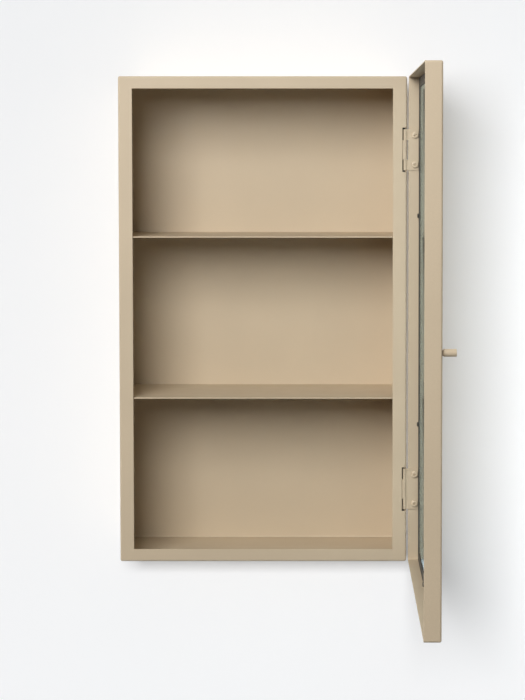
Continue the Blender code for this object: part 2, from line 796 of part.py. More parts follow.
def build_knob(coat, bare_metal, door_axis):
    """A turned knob on the free stile, and the screw that holds it from inside."""
    bore = KNOB_SCREW[2] + GAP
    foot = GAP
    profile = [
        (0, KNOB_LENGTH),
        (KNOB_RADIUS - KNOB_SOFT_EDGE, KNOB_LENGTH),
        (KNOB_RADIUS - 0.3 * KNOB_SOFT_EDGE, KNOB_LENGTH - 0.3 * KNOB_SOFT_EDGE),
        (KNOB_RADIUS, KNOB_LENGTH - KNOB_SOFT_EDGE),
        (KNOB_RADIUS, KNOB_NECK_LENGTH + 0.5 * KNOB_SOFT_EDGE),
        (KNOB_RADIUS - 0.5 * KNOB_SOFT_EDGE, KNOB_NECK_LENGTH),
        (KNOB_NECK_RADIUS, KNOB_NECK_LENGTH),
        (KNOB_NECK_RADIUS, foot),
        (bore, foot),
        (bore, KNOB_BORE_DEPTH),
        (0, KNOB_BORE_DEPTH),
    ]
    x = door_x(WIDTH - KNOB_FROM_EDGE)
    knob = place("door_knob", turned_mesh("door_knob", profile, ROUND_STEPS), coat, door_axis)
    aim(knob, (x, door_y(DOOR_DEPTH), Z_MIDDLE), (0, -1, 0))
    shank = GAP + SHEET + KNOB_BORE_DEPTH - KNOB_SCREW_TIP_CLEARANCE
    screw = place("knob_screw", screw_mesh("knob_screw", KNOB_SCREW, shank), bare_metal, door_axis)
    aim(screw, (x, door_y(FLANGE_BACK - GAP), Z_MIDDLE), (0, 1, 0))


def axis_empty(name, turn):
    """An empty on the hinge axis, turned about it."""
    empty = bpy.data.objects.new(name, None)
    bpy.context.scene.collection.objects.link(empty)
    empty.location = HINGE_AXIS
    empty.rotation_euler.z = turn
    return empty


def main():
    clear_scene()
    coat = material("powder_coat", (0.578, 0.468, 0.328), 0.55)
    glass = material("reeded_glass", (0.62, 0.66, 0.62), 0.12, alpha=0.35)
    rubber = material("foam_tape", (0.05, 0.05, 0.045), 0.9)
    black_coat = material("black_coat", (0.045, 0.043, 0.036), 0.55)
    bare_metal = material("zinc_plated_steel", (0.62, 0.61, 0.58), 0.35, metallic=1.0)
    cabinet_axis = axis_empty("cabinet_hinge_axis", 0)
    door_axis = axis_empty("door_hinge_axis", DOOR_OPEN_AT_REST)
    build_body(coat)
    build_magnet(bare_metal, coat)
    build_hinges(coat, black_coat, bare_metal, cabinet_axis, door_axis)
    build_door_frame(coat, door_axis)
    build_glazing(glass, rubber, black_coat, door_axis)
    build_knob(coat, bare_metal, door_axis)
    bpy.context.view_layer.update()


main()
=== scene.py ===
"""Looks of the wall mounted showcase: a folded steel cabinet with a glazed door, open at rest.

Every piece is placed from the frame. Door pieces are modelled open, as they stand at rest: their
depth runs along +X from the rim to the front, and their width along -Y from the hinges.
"""
import math

import bmesh
import bpy
from mathutils import Matrix, Vector


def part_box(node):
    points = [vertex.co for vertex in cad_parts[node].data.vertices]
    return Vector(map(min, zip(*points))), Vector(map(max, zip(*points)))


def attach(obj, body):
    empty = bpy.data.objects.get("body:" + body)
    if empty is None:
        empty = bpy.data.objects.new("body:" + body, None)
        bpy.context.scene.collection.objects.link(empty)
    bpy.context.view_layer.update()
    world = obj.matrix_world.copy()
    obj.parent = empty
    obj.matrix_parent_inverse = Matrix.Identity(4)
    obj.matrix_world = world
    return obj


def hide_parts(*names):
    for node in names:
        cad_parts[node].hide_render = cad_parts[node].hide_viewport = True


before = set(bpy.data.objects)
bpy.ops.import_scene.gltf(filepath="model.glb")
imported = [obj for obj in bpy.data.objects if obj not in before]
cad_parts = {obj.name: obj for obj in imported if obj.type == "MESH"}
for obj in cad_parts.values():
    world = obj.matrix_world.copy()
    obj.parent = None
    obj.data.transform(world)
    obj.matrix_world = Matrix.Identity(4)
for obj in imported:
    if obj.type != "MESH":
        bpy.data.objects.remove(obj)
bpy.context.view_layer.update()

MM = 0.001

# Folded sheet
SHEET = 1.5 * MM
BEND_RADIUS = 2.0 * MM
CORNER_RADIUS = 2.2 * MM
OPENING_RADIUS = 0.4 * MM
TIP_RADIUS = 0.35 * MM
CUT_RADIUS = 0.18 * MM
BACK_FILLET = 2.2 * MM
SHELF_EDGE_RADIUS = 0.45 * MM
BEND_STEPS = 6
CORNER_STEPS = 5
TIP_STEPS = 3
ROUND_STEPS = 48

# Edges sharper than this get a bevel or break the smooth shading
BEVEL_ANGLE = math.radians(40)
SHARP_ANGLE = math.radians(40)

# Hinges
PIN_RADIUS = 1.0 * MM
PIN_DOME = 0.25 * MM
BARREL_RADIUS = 2.1 * MM
BORE_RADIUS = 1.1 * MM
LEAF_CORNER = 0.8 * MM
LEAF_WIDTH = 16.5 * MM
LEAF_THICKNESS = 1.0 * MM
LEAF_OUTER = 0.3 * MM
LEAF_FILLET = 0.9 * MM
LEAF_RAMP = 3.6 * MM
KNUCKLE_RELIEF = 4.0 * MM
KNUCKLE_GAP = 0.15 * MM
SHOULDER_REACH = 3.15 * MM
SHOULDER_ROUND = 0.7 * MM
NOTCH_WIDTH = 5.4 * MM
NOTCH_LENGTH = 54 * MM
NOTCH_CLEARANCE = 0.45 * MM
MIDDLE_KNUCKLE = 24 * MM
BACKING_SHEET = 0.8 * MM
BACKING_BEND_RADIUS = BACKING_SHEET + 0.3 * MM
BACKING_END_GAP = 0.5 * MM
THIN_SHEET_EDGE = 0.15 * MM
LEAF_EDGE = 0.12 * MM

# Screws: head radius, head height, shank radius
HINGE_SCREW = (4.1 * MM, 2.2 * MM, 1.7 * MM)
RETAINER_SCREW = (2.7 * MM, 1.6 * MM, 1.2 * MM)
KNOB_SCREW = (3.3 * MM, 2.0 * MM, 1.65 * MM)
THREAD_PITCH = 0.5 * MM
HEAD_STEPS = 8
SCREW_EDGE = 0.05 * MM
SCREW_CLEARANCE = 0.3 * MM

# The screws of a row are turned by the golden angle from one to the next
FIRST_SCREW_ANGLE = 23
SCREW_ANGLE_STEP = 137.5

# Holes and bosses for screws, as radii
LEAF_SCREW_HOLE = 2.0 * MM
RETAINER_SCREW_HOLE = 1.5 * MM
RETAINER_SCREW_COUNT = 8
RETAINER_BOSS_RADIUS = 2.75 * MM
KNOB_BORE = 1.95 * MM

# Keyholes
KEYHOLE_SPACING = 250 * MM
KEYHOLE_HEAD_RADIUS = 4.75 * MM
KEYHOLE_SLOT_RADIUS = 2.3 * MM
KEYHOLE_LENGTH = 10 * MM

# Magnet
MAGNET_EDGE = 0.4 * MM
CLIP_SHEET = 0.8 * MM
CLIP_BEND_RADIUS = 1.1 * MM

# Glass and what holds it
REED_PITCH = 4.1 * MM
REED_HEIGHT = 0.55 * MM
REED_STEPS = 8
TAPE_WIDTH = 3.5 * MM
RETAINER_EDGE = 0.2 * MM

# Knob
KNOB_NECK_RADIUS = 3.1 * MM
KNOB_NECK_LENGTH = 1.2 * MM
KNOB_NECK_FILLET = 0.1 * MM
KNOB_SOFT_EDGE = 0.45 * MM
KNOB_EDGE_STEPS = 6
KNOB_STEPS = 64

# Colours, linear
BEIGE = (0.578, 0.468, 0.328)
ZINC_BLUE = (0.60, 0.62, 0.64)
ZINC_YELLOW = (0.68, 0.66, 0.58)
FOAM_BLACK = (0.030, 0.030, 0.028)
# Black of the dark fittings' coat, also used as painted shade on the plates behind the hinge
# notches
COAT_AND_SHADE_BLACK = (0.045, 0.043, 0.036)
WALL_PAINT = (0.885, 0.895, 0.91)
FLOOR_PAINT = (0.84, 0.84, 0.835)
WHITE = (1.0, 1.0, 1.0, 1.0)

# What the glass leaves of the light through it, seen face on and along the pane
GLASS_FACE_ON = (0.84, 0.89, 0.86)
GLASS_ALONG = (0.14, 0.31, 0.36)
GLASS_SHADOW_FACE_ON = (0.86, 0.90, 0.88)
GLASS_SHADOW_ALONG = (0.10, 0.12, 0.11)
GLASS_FILM = (0.978, 0.9905, 0.9985, 1.0)
GLASS_TURN_FROM = 0.35
GLASS_TURN_TO = 0.95

# Room
FLOOR_DROP = 1.15
ROOM_SIZE = 16.0
WALL_GAP = 0.5 * MM

# What the world gives: light, the tone that the camera sees, and the share of that through glass
AMBIENT = 0.04
WALL_TONE = 0.913
SEEN_THROUGH_GLASS = 0.5

# The wall's own lamp, its sky, and the glow that evens out the lamp's fall-off
WALL_LIGHT = 74.0
WALL_LIGHT_DISTANCE = 3.0
WALL_LIGHT_PLACE = (-0.155, -WALL_LIGHT_DISTANCE, 0.175)
WALL_LIGHT_SIZE = (0.70, 0.59)
WALL_GLOW = 0.74
WALL_SKY = 0.43
WALL_SKY_TOWARDS = (0, -1, 0)
WALL_SKY_ANGLE = 150
FLOOR_SKY = 2.1
FLOOR_SKY_TOWARDS = (-0.1, -0.25, 1)
FLOOR_SKY_ANGLE = 40

# The showcase's lamps
KEY = 48.0
KEY_PLACE = (-0.62, -2.00, 0.68)
KEY_SIZE = (1.32, 1.25)
SIDE_FILL = 14.0
SIDE_FILL_PLACE = (-2.5, -1.3, 0.7)
SIDE_FILL_SIZE = (1.6, 1.6)
REAR_FILL = 60.0
REAR_FILL_PLACE = (2.3, 1.6, 0.8)
REAR_FILL_SIZE = (2.0, 2.0)

# Camera
LENS_LENGTH = 86.33
SENSOR_WIDTH = 36.0
CAMERA_SHIFT = (-0.0974, -0.175)
CAMERA_RIGHT = 0.0831
CAMERA_DISTANCE = 2.1785
CAMERA_BELOW_TOP = 0.0956
CAMERA_PITCH = 2.48
CLIP_START = 0.05
CLIP_END = 60.0


def corners(node):
    low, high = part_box(node)
    return Vector(low), Vector(high)


def centre_of(node):
    return sum(corners(node), Vector()) / 2


side_low, side_high = corners("side_panel_left")
top_low, top_high = corners("top_panel")
bottom_low, bottom_high = corners("bottom_panel")
stile_low, stile_high = corners("door_stile_hinge")
pin_places = {hinge: centre_of(hinge + "_pin") for hinge in ("hinge_upper", "hinge_lower")}

LEFT = side_low.x
RIGHT = corners("side_panel_right")[1].x
FRONT = side_low.y
WALL = side_high.y
TOP = top_high.z
BOTTOM = bottom_low.z
MIDDLE = (TOP + BOTTOM) / 2
BODY_DEPTH = WALL - FRONT

# The side flanges reach 17 mm in at the front; the box of a side panel gives the widest one
STILE_WIDTH = side_high.x - side_low.x
RAIL_WIDTH = bottom_high.z - bottom_low.z
REAR_SIDE_FLANGE = 12 * MM
REAR_TOP_FLANGE = top_high.z - top_low.z
REAR_BOTTOM_FLANGE = 15 * MM

DOOR_RIM = stile_low.x
DOOR_DEPTH = stile_high.x - stile_low.x
DOOR_HINGE_EDGE = stile_high.y
DOOR_WIDTH = DOOR_HINGE_EDGE - corners("door_stile_free")[0].y


# Meshes

def finished(shape, name):
    bmesh.ops.recalc_face_normals(shape, faces=shape.faces)
    mesh = bpy.data.meshes.new(name)
    shape.to_mesh(mesh)
    shape.free()
    return mesh


def make_object(name, mesh):
    made = bpy.data.objects.new(name, mesh)
    bpy.context.scene.collection.objects.link(made)
    return made


def combined(mesh, steps, name):
    """The mesh after a list of (operation, tool mesh) Booleans."""
    blank = make_object(name + "_blank", mesh)
    tools = []
    for operation, tool_mesh in steps:
        tool = make_object(name + "_tool", tool_mesh)
        step = blank.modifiers.new(operation, "BOOLEAN")
        step.operation = operation
        step.solver = "EXACT"
        step.use_self = True
        step.object = tool
        tools.append(tool)
    bpy.context.view_layer.update()
    solved = blank.evaluated_get(bpy.context.evaluated_depsgraph_get())
    done = bpy.data.meshes.new_from_object(solved)
    for helper in [blank] + tools:
        bpy.data.objects.remove(helper, do_unlink=True)
    done.name = name
    return done


def add_box(shape, low, high):
    low, high = Vector(low), Vector(high)
    move = Matrix.Translation((low + high) / 2) @ Matrix.Diagonal((*(high - low), 1))
    return bmesh.ops.create_cube(shape, size=1, matrix=move)["verts"]


def box_mesh(name, low, high):
    shape = bmesh.new()
    add_box(shape, low, high)
    return finished(shape, name)


def add_rod(shape, start, end, radius, steps=ROUND_STEPS):
    start = Vector(start)
    along = Vector(end) - start
    turn = along.to_track_quat("Z", "Y").to_matrix().to_4x4()
    move = Matrix.Translation(start + along / 2) @ turn
    bmesh.ops.create_cone(
        shape, cap_ends=True, segments=steps, radius1=radius, radius2=radius,
        depth=along.length, matrix=move,
    )


def turned(name, profile, steps=ROUND_STEPS):
    """A mesh of revolution about Z from (radius, height) points that start and end on the axis."""
    shape = bmesh.new()
    points = [shape.verts.new((radius, 0, height)) for radius, height in profile]
    edges = [shape.edges.new(pair) for pair in zip(points, points[1:])]
    bmesh.ops.spin(
        shape, geom=points + edges, cent=(0, 0, 0), axis=(0, 0, 1), angle=math.tau,
        steps=steps, use_merge=True,
    )
    bmesh.ops.remove_doubles(shape, verts=shape.verts, dist=0.0005 * MM)
    return finished(shape, name)


def arc(centre, radius, start, sweep, steps):
    """Points along an arc in the plane; angles in radians."""
    return [
        Vector((
            centre[0] + radius * math.cos(start + sweep * step / steps),
            centre[1] + radius * math.sin(start + sweep * step / steps),
        ))
        for step in range(steps + 1)
    ]


def bridge(shape, loop, following):
    """Faces between two closed loops of the same number of points."""
    count = len(loop)
    for here in range(count):
        there = (here + 1) % count
        shape.faces.new((loop[here], loop[there], following[there], following[here]))


def extruded(name, outline, to_world, low, high):
    """A prism over a plane outline, between two places along the third direction."""
    shape = bmesh.new()
    near, far = (
        [shape.verts.new(to_world(point, place)) for point in outline] for place in (low, high)
    )
    bridge(shape, near, far)
    shape.faces.new(near)
    shape.faces.new(far)
    return finished(shape, name)


# Folded sheet

def folded_outline(path, sheet=SHEET, radius=BEND_RADIUS):
    """Closed outline of a folded strip whose outer face follows a path that turns left.

    Both raw edges are rounded a little, as a coated edge is.
    """
    points = [Vector(point) for point in path]
    runs = [(after - before).normalized() for before, after in zip(points, points[1:])]
    sides = [Vector((-run.y, run.x)) for run in runs]
    outer = []
    inner = []
    for corner, run, side in zip(points[1:-1], runs, sides):
        centre = corner - run * radius + side * radius
        for step in range(BEND_STEPS + 1):
            angle = math.pi / 2 * step / BEND_STEPS
            outwards = run * math.sin(angle) - side * math.cos(angle)
            outer.append(centre + outwards * radius)
            inner.append(centre + outwards * (radius - sheet))
    first = raw_edge(points[0], -runs[0], sides[0], sheet)
    last = raw_edge(points[-1], runs[-1], sides[-1], sheet)
    return first[::-1] + outer + last + inner[::-1]


def raw_edge(tip, ahead, side, sheet):
    """Rounded end of a strip, from its outer face to its inner one."""
    points = []
    for across, start in ((TIP_RADIUS, 0.0), (sheet - TIP_RADIUS, math.pi / 2)):
        centre = tip - ahead * TIP_RADIUS + side * across
        for step in range(TIP_STEPS + 1):
            angle = start + math.pi / 2 * step / TIP_STEPS
            points.append(centre + (ahead * math.sin(angle) - side * math.cos(angle)) * TIP_RADIUS)
    return points


def spread(inset, widths):
    """How far in a section point lies on the sides, the top and the bottom of a ring."""
    if inset <= BEND_RADIUS:
        return inset, inset, inset
    share = (inset - BEND_RADIUS) / (widths[0] - BEND_RADIUS)
    return tuple(BEND_RADIUS + share * (width - BEND_RADIUS) for width in widths)


def rounded_rectangle(low, high, radius):
    """Points round a rectangle with arcs at its corners."""
    centres = (
        (high[0] - radius, high[1] - radius),
        (low[0] + radius, high[1] - radius),
        (low[0] + radius, low[1] + radius),
        (high[0] - radius, low[1] + radius),
    )
    points = []
    for quarter, centre in enumerate(centres):
        points += arc(centre, radius, quarter * math.pi / 2, math.pi / 2, CORNER_STEPS)
    return points


def ring_mesh(name, outline, size, widths_at, to_world):
    """A seamless frame: a folded section carried round a rectangle with rounded corners.

    outline holds (depth, inset) points; size is the (low, high) rectangle; widths_at gives the
    flange widths (sides, top, bottom) for a section point.
    """
    low, high = size
    shape = bmesh.new()
    loops = []
    for point in outline:
        side, top, bottom = spread(point.y, widths_at(point))
        near = (low[0] + side, low[1] + bottom)
        far = (high[0] - side, high[1] - top)
        around = rounded_rectangle(near, far, max(CORNER_RADIUS - point.y, OPENING_RADIUS))
        loops.append([shape.verts.new(to_world(point.x, place)) for place in around])
    for loop, following in zip(loops, loops[1:] + loops[:1]):
        bridge(shape, loop, following)
    return finished(shape, name)


# Materials

def node(tree, kind, **inputs):
    """A node with values set on its inputs; an underscore stands for a space in an input's name."""
    made = tree.nodes.new(kind)
    for key, value in inputs.items():
        made.inputs[key.replace("_", " ")].default_value = value
    return made


def object_position(tree):
    return tree.nodes.new("ShaderNodeTexCoord").outputs["Object"]


def noise(tree, scale, detail=2.0, roughness=0.5):
    made = node(tree, "ShaderNodeTexNoise", Scale=scale, Detail=detail, Roughness=roughness)
    tree.links.new(object_position(tree), made.inputs["Vector"])
    return made.outputs["Fac"]


def between(tree, factor, low, high):
    """A value that runs between two numbers as a noise runs over its usual range."""
    made = node(tree, "ShaderNodeMapRange", From_Min=0.3, From_Max=0.7, To_Min=low, To_Max=high)
    tree.links.new(factor, made.inputs["Value"])
    return made.outputs["Result"]


def colour_mix(tree, factor, first, second):
    made = tree.nodes.new("ShaderNodeMix")
    made.data_type = "RGBA"
    tree.links.new(factor, made.inputs["Factor"])
    for socket, colour in (("A", first), ("B", second)):
        target = [item for item in made.inputs if item.name == socket and item.type == "RGBA"][0]
        if isinstance(colour, tuple):
            target.default_value = (*colour, 1.0)
        else:
            tree.links.new(colour, target)
    return [item for item in made.outputs if item.type == "RGBA"][0]


def bump(tree, height, distance, normal=None):
    made = node(tree, "ShaderNodeBump", Strength=1.0, Distance=distance)
    tree.links.new(height, made.inputs["Height"])
    if normal is not None:
        tree.links.new(normal, made.inputs["Normal"])
    return made.outputs["Normal"]


def switch(tree, factor, first, second, output):
    """End a node tree in a mix of two shaders by a factor."""
    either = tree.nodes.new("ShaderNodeMixShader")
    tree.links.new(factor, either.inputs[0])
    tree.links.new(first.outputs[0], either.inputs[1])
    tree.links.new(second.outputs[0], either.inputs[2])
    tree.links.new(either.outputs[0], tree.nodes[output].inputs["Surface"])


def new_material(name):
    made = bpy.data.materials.new(name)
    made.use_nodes = True
    return made, made.node_tree, made.node_tree.nodes["Principled BSDF"]


def shaded(base, factor):
    """A colour made darker or lighter."""
    return tuple(channel * factor for channel in base)


def powder_coat(name, brightness, smoothest, roughest):
    """Powder coat: an even warm beige with a fine orange peel and a slight sparkle of grain."""
    made, tree, shader = new_material(name)
    base = shaded(BEIGE, brightness)
    clouds = between(tree, noise(tree, 7.0, 3.0), 0.0, 1.0)
    tone = colour_mix(tree, clouds, shaded(base, 0.965), shaded(base, 1.03))
    grain = between(tree, noise(tree, 1400.0, 2.0), 0.0, 1.0)
    tone = colour_mix(tree, between(tree, grain, 0.0, 0.35), tone, shaded(base, 0.90))
    tree.links.new(tone, shader.inputs["Base Color"])
    gloss = between(tree, noise(tree, 45.0, 4.0), smoothest, roughest)
    tree.links.new(gloss, shader.inputs["Roughness"])
    peel = bump(tree, noise(tree, 620.0, 2.0, 0.45), 0.035 * MM)
    fine = bump(tree, noise(tree, 2300.0, 1.0), 0.008 * MM, peel)
    tree.links.new(fine, shader.inputs["Normal"])
    shader.inputs["Specular IOR Level"].default_value = 0.4
    return made


def zinc_plate():
    """Bright zinc: silver with a faint blue and yellow cast and fine drawn lines."""
    made, tree, shader = new_material("zinc_plate")
    cast = between(tree, noise(tree, 160.0, 3.0), 0.0, 1.0)
    tone = colour_mix(tree, cast, ZINC_BLUE, ZINC_YELLOW)
    tree.links.new(tone, shader.inputs["Base Color"])
    tree.links.new(between(tree, noise(tree, 380.0, 4.0), 0.24, 0.42), shader.inputs["Roughness"])
    tree.links.new(bump(tree, noise(tree, 900.0, 3.0), 0.006 * MM), shader.inputs["Normal"])
    shader.inputs["Metallic"].default_value = 1.0
    return made


def matt_black(name, base, smoothest, roughest):
    """Soft black in faint patches: tape foam, dark fittings, and painted shade behind hinge
    notches.
    """
    made, tree, shader = new_material(name)
    patches = between(tree, noise(tree, 60.0, 3.0), 0.0, 1.0)
    tone = colour_mix(tree, patches, shaded(base, 0.8), shaded(base, 1.3))
    tree.links.new(tone, shader.inputs["Base Color"])
    gloss = between(tree, noise(tree, 210.0, 2.0), smoothest, roughest)
    tree.links.new(gloss, shader.inputs["Roughness"])
    tree.links.new(bump(tree, noise(tree, 1500.0, 2.0), 0.02 * MM), shader.inputs["Normal"])
    return made


def reeded_glass():
    """Clear glass, faintly grey-green, that lets lamp light through to what is behind.

    It darkens towards a view along the pane. The coat is only a film of colour: with an IOR of 1 it
    reflects nothing, and it tints reflections that a base colour leaves white.
    """
    made, tree, shader = new_material("reeded_glass")
    shader.inputs["Transmission Weight"].default_value = 1.0
    shader.inputs["IOR"].default_value = 1.5
    shader.inputs["Coat Weight"].default_value = 1.0
    shader.inputs["Coat IOR"].default_value = 1.0
    shader.inputs["Coat Tint"].default_value = GLASS_FILM
    tree.links.new(between(tree, noise(tree, 30.0, 3.0), 0.02, 0.06), shader.inputs["Roughness"])
    tree.links.new(bump(tree, noise(tree, 90.0, 1.0), 0.02 * MM), shader.inputs["Normal"])
    clear = tree.nodes.new("ShaderNodeBsdfTransparent")
    facing = node(tree, "ShaderNodeLayerWeight", Blend=0.5)
    turn = node(tree, "ShaderNodeMapRange", From_Min=GLASS_TURN_FROM, From_Max=GLASS_TURN_TO)
    tree.links.new(facing.outputs["Facing"], turn.inputs["Value"])
    along = turn.outputs["Result"]
    shadow = colour_mix(tree, along, GLASS_SHADOW_FACE_ON, GLASS_SHADOW_ALONG)
    tree.links.new(shadow, clear.inputs["Color"])
    depth = colour_mix(tree, along, GLASS_FACE_ON, GLASS_ALONG)
    tree.links.new(depth, shader.inputs["Base Color"])
    path = tree.nodes.new("ShaderNodeLightPath")
    switch(tree, path.outputs["Is Shadow Ray"], shader, clear, "Material Output")
    return made


coat = powder_coat("powder_coat", 1.0, 0.46, 0.56)
# The hinge screws' coat: glossier, and its base 12% lighter than the beige as a painted highlight
screw_coat_painted_highlight = powder_coat("screw_coat_painted_highlight", 1.12, 0.22, 0.32)
zinc = zinc_plate()
foam = matt_black("foam_tape", FOAM_BLACK, 0.75, 0.95)
# Black coat of the glazing strips and their screws; on the plates behind the hinge notches it is
# painted shade
black_coat = matt_black("black_coat", COAT_AND_SHADE_BLACK, 0.5, 0.65)
glass = reeded_glass()

pieces = []


def add_piece(name, mesh, finish, body, replaced=(), soften=CUT_RADIUS, matrix=None):
    """Put a finished mesh in the scene as one piece that moves with a body."""
    mesh.materials.clear()
    mesh.materials.append(finish)
    mesh.shade_smooth()
    piece = make_object(name, mesh)
    if matrix is not None:
        mesh.transform(matrix)
    if soften:
        bevel = piece.modifiers.new("soft_edges", "BEVEL")
        bevel.width = soften
        bevel.segments = 2
        bevel.limit_method = "ANGLE"
        bevel.angle_limit = BEVEL_ANGLE
        bevel.use_clamp_overlap = True
        bevel.harden_normals = False
    mesh.set_sharp_from_angle(angle=SHARP_ANGLE)
    weigh = piece.modifiers.new("flat_faces", "WEIGHTED_NORMAL")
    weigh.keep_sharp = True
    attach(piece, body)
    if replaced:
        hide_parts(*replaced)
    pieces.append(piece)
    return piece


def coated(name, mesh, body, replaced=(), soften=CUT_RADIUS, matrix=None):
    return add_piece(name, mesh, coat, body, replaced, soften, matrix)


def plated(name, mesh, body, replaced=(), soften=CUT_RADIUS, matrix=None):
    return add_piece(name, mesh, zinc, body, replaced, soften, matrix)


# Carcass

def carcass_place(depth, place):
    return place.x, WALL - depth, place.y


def carcass_widths(point):
    if point.x > BODY_DEPTH / 2:
        return STILE_WIDTH, RAIL_WIDTH, RAIL_WIDTH
    return REAR_SIDE_FLANGE, REAR_TOP_FLANGE, REAR_BOTTOM_FLANGE


def keyhole_tools():
    """Round entries for a screw head, each with a slot up to its seat."""
    half_mouth = math.asin(KEYHOLE_SLOT_RADIUS / KEYHOLE_HEAD_RADIUS)
    entry = arc(
        (0, -KEYHOLE_LENGTH), KEYHOLE_HEAD_RADIUS, math.pi / 2 + half_mouth,
        math.tau - 2 * half_mouth, ROUND_STEPS,
    )
    seat = arc((0, 0), KEYHOLE_SLOT_RADIUS, 0, math.pi, ROUND_STEPS // 2)
    tools = []
    for side in (-1, 1):
        def to_world(point, place, centre=side * KEYHOLE_SPACING / 2):
            return centre + point.x, place, point.y

        hole = extruded("keyhole", entry + seat, to_world, WALL - 2 * SHEET, WALL + SHEET)
        tools.append(("DIFFERENCE", hole))
    return tools


def leaf_screw_names(hinge, side):
    return [f"{hinge}_{side}_screw_{number}" for number in (1, 2)]


def tapped_holes():
    """Tools for the holes that the cabinet's hinge screws leave on the outside of its wall."""
    shape = bmesh.new()
    for hinge in pin_places:
        for screw in leaf_screw_names(hinge, "cabinet"):
            place = centre_of(screw)
            start = (RIGHT - 2 * SHEET, place.y, place.z)
            add_rod(shape, start, (RIGHT + SHEET, place.y, place.z), LEAF_SCREW_HOLE)
    return finished(shape, "tapped_holes")


def notch_tools():
    shape = bmesh.new()
    for place in pin_places.values():
        half = NOTCH_LENGTH / 2
        low = (RIGHT - NOTCH_WIDTH, FRONT - SHEET, place.z - half)
        back = place.y + BARREL_RADIUS + NOTCH_CLEARANCE
        add_box(shape, low, (RIGHT + SHEET, back, place.z + half))
    return finished(shape, "notches")


def build_carcass():
    outline = folded_outline([
        (0, REAR_SIDE_FLANGE), (0, 0), (BODY_DEPTH, 0), (BODY_DEPTH, STILE_WIDTH),
    ])
    size = ((LEFT, BOTTOM), (RIGHT, TOP))
    ring = ring_mesh("carcass", outline, size, carcass_widths, carcass_place)
    steps = keyhole_tools()
    steps.append(("DIFFERENCE", notch_tools()))
    steps.append(("DIFFERENCE", tapped_holes()))
    mesh = combined(ring, steps, "carcass")
    panels = ("side_panel_left", "side_panel_right", "top_panel", "bottom_panel")
    coated("carcass", mesh, "cabinet", panels)


def build_back():
    """The back tray; its face sweeps forward in a small fillet where it is sealed to the walls."""
    low, high = corners("back_panel")
    face = low.y
    rim = high.y
    levels = []
    for step in range(CORNER_STEPS + 1):
        angle = math.pi / 2 * step / CORNER_STEPS
        inset = BACK_FILLET * (1 - math.sin(angle))
        levels.append((inset, face - BACK_FILLET * (1 - math.cos(angle))))
    levels += [(0, rim), (SHEET, rim), (SHEET, face + SHEET)]
    shape = bmesh.new()
    loops = []
    for inset, y in levels:
        loops.append([
            shape.verts.new((x, y, z))
            for x, z in (
                (low.x + inset, low.z + inset), (high.x - inset, low.z + inset),
                (high.x - inset, high.z - inset), (low.x + inset, high.z - inset),
            )
        ])
    for loop, following in zip(loops, loops[1:]):
        bridge(shape, loop, following)
    shape.faces.new(loops[0])
    shape.faces.new(loops[-1])
    coated("back", finished(shape, "back"), "cabinet", ("back_panel",))


def build_shelves():
    """Shelves turned down at both sides, with a front edge rounded by sanding and coat."""
    for name in ("shelf_upper", "shelf_lower"):
        low, high = corners(name)
        outline = folded_outline([
            (high.x, low.z), (high.x, high.z), (low.x, high.z), (low.x, low.z),
        ])

        def to_world(point, place):
            return point.x, place, point.y

        mesh = extruded(name, outline, to_world, low.y, high.y)
        coated(name + "_sheet", mesh, "cabinet", (name,), soften=SHELF_EDGE_RADIUS)


# Magnet

def build_magnet():
    low, high = corners("door_magnet")
    block = box_mesh("magnet", low, high)
    plated("magnet_block", block, "cabinet", ("door_magnet",), soften=MAGNET_EDGE)
    low, high = corners("magnet_clip")
    outline = folded_outline(
        [(low.y, low.z), (high.y, low.z), (high.y, high.z), (low.y, high.z)],
        CLIP_SHEET, CLIP_BEND_RADIUS,
    )

    def to_world(point, place):
        return place, point.x, point.y

    mesh = extruded("magnet_clip", outline, to_world, low.x, high.x)
    coated("magnet_holder", mesh, "cabinet", ("magnet_clip",), soften=THIN_SHEET_EDGE)


# Screws

def pan_head(name, head_radius, head_height, shank_radius, shank_length):
    """A pan-head screw along +Z with a cross recess; its thread is turned as fine grooves."""
    flat = 0.55
    rim_height = 0.46
    profile = [(0, head_height)]
    for step in range(1, HEAD_STEPS + 1):
        angle = math.pi / 2 * step / HEAD_STEPS
        radius = head_radius * (flat + (1 - flat) * math.sin(angle))
        height = head_height * (rim_height + (1 - rim_height) * math.cos(angle) ** 0.8)
        profile.append((radius, height))
    profile += [(head_radius, 0.08 * head_height), (0.97 * head_radius, 0), (shank_radius, 0)]
    for turn in range(max(int(shank_length / THREAD_PITCH) - 1, 0)):
        start = -THREAD_PITCH * (turn + 0.5)
        profile += [(shank_radius, start), (0.88 * shank_radius, start - THREAD_PITCH / 2)]
    profile += [
        (0.9 * shank_radius, 0.1 * MM - shank_length), (0.7 * shank_radius, -shank_length),
        (0, -shank_length),
    ]
    steps = [("DIFFERENCE", cross_recess(head_radius, head_height))]
    return combined(turned(name, profile), steps, name)


def cross_recess(head_radius, head_height):
    """Two crossed slots that narrow towards their floor."""
    shape = bmesh.new()
    arm = 0.56 * head_radius
    half_slot = 0.13 * head_radius
    floor = 0.3 * head_height
    floor_share = 0.72
    for reach_x, reach_y in ((arm, half_slot), (half_slot, arm)):
        low = (-reach_x, -reach_y, floor)
        for vert in add_box(shape, low, (reach_x, reach_y, 2 * head_height)):
            if vert.co.z < head_height:
                vert.co.x *= floor_share
                vert.co.y *= floor_share
    return finished(shape, "cross_recess")


